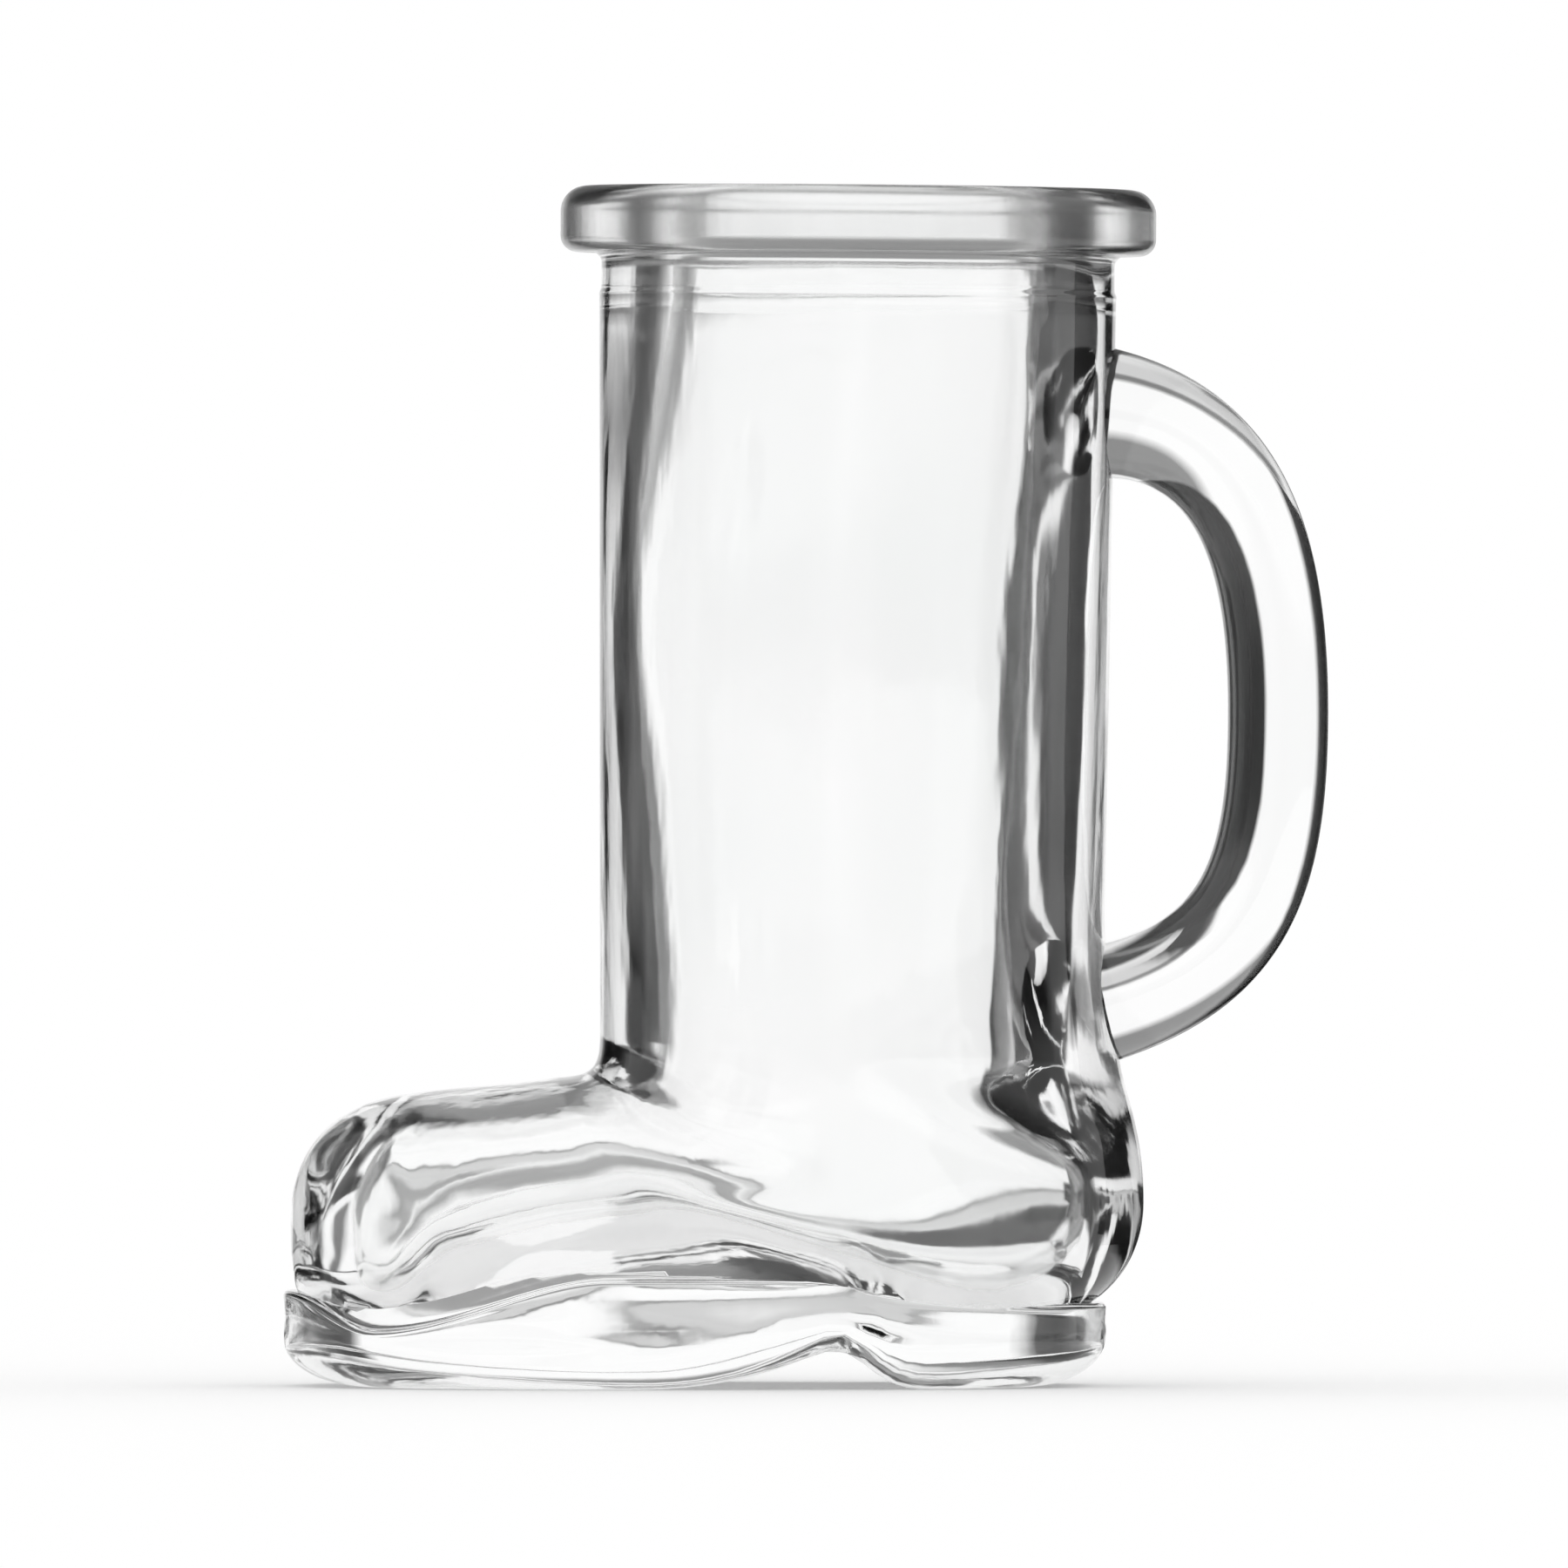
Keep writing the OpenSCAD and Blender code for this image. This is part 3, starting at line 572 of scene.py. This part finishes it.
def light_path_mix(tree, plain, seen, rays):
    """Output that is seen for the named kinds of ray, and plain for the rest."""
    path = tree.nodes.new("ShaderNodeLightPath")
    total = path.outputs[rays[0]]
    for ray in rays[1:]:
        either = tree.nodes.new("ShaderNodeMath")
        either.operation = "MAXIMUM"
        tree.links.new(total, either.inputs[0])
        tree.links.new(path.outputs[ray], either.inputs[1])
        total = either.outputs[0]
    mix = tree.nodes.new("ShaderNodeMixShader")
    tree.links.new(total, mix.inputs[0])
    tree.links.new(plain, mix.inputs[1])
    tree.links.new(seen, mix.inputs[2])
    return mix.outputs[0]


floor_mesh = bpy.data.meshes.new("floor")
floor_mesh.from_pydata([(-FLOOR_HALF, -FLOOR_HALF, 0), (FLOOR_HALF, -FLOOR_HALF, 0),
                        (FLOOR_HALF, FLOOR_HALF, 0), (-FLOOR_HALF, FLOOR_HALF, 0)], [], [(0, 1, 2, 3)])
floor = bpy.data.objects.new("floor", floor_mesh)
bpy.context.scene.collection.objects.link(floor)
pale, nodes, links = new_material("pale_floor")
base = nodes["Principled BSDF"]
base.inputs["Base Color"].default_value = (FLOOR_COLOR, FLOOR_COLOR, FLOOR_COLOR, 1)
base.inputs["Roughness"].default_value = 0.9
base.inputs["Specular IOR Level"].default_value = 0.0
glow = nodes.new("ShaderNodeEmission")
glow.inputs["Color"].default_value = (1, 1, 1, 1)
glow.inputs["Strength"].default_value = 1 - FLOOR_COLOR
both = nodes.new("ShaderNodeAddShader")
links.new(base.outputs[0], both.inputs[0])
links.new(glow.outputs[0], both.inputs[1])
# Through the glass the floor looks lit from under it, as on a light table, with a fainter shadow
white = nodes.new("ShaderNodeEmission")
white.inputs["Color"].default_value = (1, 1, 1, 1)
white.inputs["Strength"].default_value = 1.0
lit = nodes.new("ShaderNodeMixShader")
lit.inputs[0].default_value = FLOOR_LIT
links.new(both.outputs[0], lit.inputs[1])
links.new(white.outputs[0], lit.inputs[2])
direct = light_path_mix(pale.node_tree, base.outputs[0], both.outputs[0], ["Is Camera Ray"])
through = light_path_mix(pale.node_tree, direct, lit.outputs[0], ["Is Glossy Ray", "Is Transmission Ray"])
links.new(through, nodes["Material Output"].inputs[0])
floor_mesh.materials.append(pale)

world = bpy.data.worlds.new("studio")
bpy.context.scene.world = world
world.use_nodes = True
soft = world.node_tree.nodes["Background"]
soft.inputs["Color"].default_value = (1, 1, 1, 1)
soft.inputs["Strength"].default_value = 1.0

# Studio cards, in metres and degrees

card_mat, nodes, links = new_material("card")
tone = nodes.new("ShaderNodeAttribute")
tone.attribute_name = "tone"
shade = nodes.new("ShaderNodeEmission")
links.new(tone.outputs["Color"], shade.inputs["Color"])
clear = nodes.new("ShaderNodeBsdfTransparent")
veil = nodes.new("ShaderNodeMixShader")
links.new(tone.outputs["Alpha"], veil.inputs[0])
links.new(clear.outputs[0], veil.inputs[1])
links.new(shade.outputs[0], veil.inputs[2])
links.new(veil.outputs[0], nodes["Material Output"].inputs[0])


def card(name, columns, rows, place):
    """A dark or grey studio card seen only in and through the glass.

    columns are (position, grey, cover) across it and rows are (position, cover) along it; cover fades its
    edges, and place gives the point of a column and a row position.
    """
    verts = [place(c[0], r[0]) for c in columns for r in rows]
    n = len(rows)
    faces = [(i * n + j, i * n + j + 1, (i + 1) * n + j + 1, (i + 1) * n + j)
             for i in range(len(columns) - 1) for j in range(n - 1)]
    mesh = bpy.data.meshes.new(name)
    mesh.from_pydata(verts, [], faces)
    tones = mesh.color_attributes.new("tone", "FLOAT_COLOR", "POINT")
    for k, (c, r) in enumerate((c, r) for c in columns for r in rows):
        tones.data[k].color = (c[1], c[1], c[1], c[2] * r[1])
    mesh.materials.append(card_mat)
    obj = bpy.data.objects.new(name, mesh)
    bpy.context.scene.collection.objects.link(obj)
    obj.visible_camera = False
    obj.visible_diffuse = False
    obj.visible_shadow = False


def standing(radius):
    """Places of a card that stands round the object: azimuth from behind the object, height."""
    return lambda az, z: (radius * math.sin(math.radians(az)), radius * math.cos(math.radians(az)), z)


def lying(height):
    """Places of a card just above the floor: azimuth from behind the object, distance from the origin."""
    return lambda az, r: (r * math.sin(math.radians(az)), r * math.cos(math.radians(az)), height)


# To the right
card("card_right", [(36, 0.01, 0), (38, 0.01, 1), (50, 0.01, 1), (65, 0.05, 1), (80, 0.1, 1)],
     [(0.0, 1), (0.12, 1), (0.15, 0)], standing(0.064))
card("card_right_low", [(16, 0.02, 0), (20, 0.02, 1), (80, 0.02, 1)],
     [(0.0, 1), (0.013, 1), (0.02, 0)], standing(0.1))
card("card_heel_floor", [(2, 0.02, 0), (6, 0.02, 1), (28, 0.02, 1), (34, 0.02, 0)],
     [(0.028, 0), (0.033, 1), (0.072, 1), (0.08, 0)], lying(0.001))
card("card_right_floor", [(26, 0.01, 0), (34, 0.01, 1), (60, 0.01, 1), (75, 0.05, 0)],
     [(0.04, 0), (0.05, 1), (0.1, 1)], lying(0.0008))
# To the left
card("card_left", [(-64, 0.4, 0), (-58, 0.25, 1), (-52, 0.05, 1), (-46, 0.01, 1), (-35, 0.01, 1),
                   (-28, 0.05, 1), (-22, 0.2, 0)], [(0.0, 1), (0.2, 1), (0.24, 0)], standing(0.2))
card("card_left_low", [(-76, 0.02, 0), (-70, 0.02, 1), (-44, 0.02, 1), (-38, 0.02, 0)],
     [(0.0, 1), (0.026, 1), (0.036, 0)], standing(0.19))
card("card_toe_floor", [(-76, 0.15, 0), (-70, 0.15, 1), (-60, 0.15, 1), (-54, 0.15, 0)],
     [(0.05, 0), (0.055, 1), (0.09, 1), (0.1, 0)], lying(0.0004))
# On the floor behind
BACK = ((-38, 0), (-30, 1), (-10, 1), (10, 1), (30, 1), (50, 0))
card("card_back_floor", [(az, 0.55, cover) for az, cover in BACK],
     [(0.022, 0), (0.03, 0.25), (0.07, 0.25), (0.1, 0.8), (0.16, 0.8), (0.2, 0)], lying(0.0002))
card("card_back_line", [(az, 0.2, cover) for az, cover in BACK],
     [(0.15, 0), (0.165, 1), (0.185, 1), (0.22, 0)], lying(0.0003))
card("card_near_line", [(-40, 0.2, 0), (-32, 0.2, 1), (-4, 0.2, 1), (6, 0.2, 0)],
     [(0.029, 0), (0.034, 0.8), (0.05, 0.8), (0.064, 0)], lying(0.0006))
card("card_toe_line", [(-35, 0.2, 0), (-31, 0.2, 1), (-20, 0.2, 1), (-14, 0.2, 0)],
     [(0.064, 0), (0.07, 0.8), (0.086, 0.8), (0.095, 0)], lying(0.0005))
# Behind and above
card("card_top", [(-50, 0.25, 0), (-40, 0.25, 1), (40, 0.25, 1), (50, 0.25, 0)],
     [(0.1, 0), (0.125, 1), (0.34, 1), (0.4, 0)], standing(0.3))
# In front, to either side of the camera
card("card_front_right", [(80, 0.1, 0)] + [(az, 0.1, 1) for az in range(86, 171, 12)] + [(190, 0.3, 0)],
     [(0.0, 1), (0.07, 1), (0.11, 0)], standing(0.5))
card("card_front_left", [(170, 0.5, 0)] + [(az, 0.6, 1) for az in range(190, 251, 12)] + [(256, 0.6, 0)],
     [(0.0, 0), (0.03, 1), (0.07, 1), (0.11, 0)], standing(0.5))

# Camera: the photo's frame, the size of its pixel at the object, and the pixel at the origin

FRAME_PX, PX = 1800, 0.058055 * MM
ORIGIN_PX = (925, 1591)
CAM_DIST, CAM_H = 2.4, 0.045
SENSOR = 36
AIM = Vector(((FRAME_PX / 2 - ORIGIN_PX[0]) * PX, 0, (ORIGIN_PX[1] - FRAME_PX / 2) * PX))
cam_data = bpy.data.cameras.new("camera")
cam_data.sensor_width = SENSOR
cam_data.lens = SENSOR * CAM_DIST / (FRAME_PX * PX)
cam_data.clip_start, cam_data.clip_end = 0.1, 20
camera = bpy.data.objects.new("camera", cam_data)
camera.location = (AIM.x, -CAM_DIST, CAM_H)
camera.rotation_mode = "QUATERNION"
camera.rotation_quaternion = (AIM - camera.location).to_track_quat("-Z", "Y")
bpy.context.scene.collection.objects.link(camera)
bpy.context.scene.camera = camera
bpy.context.scene.view_settings.view_transform = "Standard"
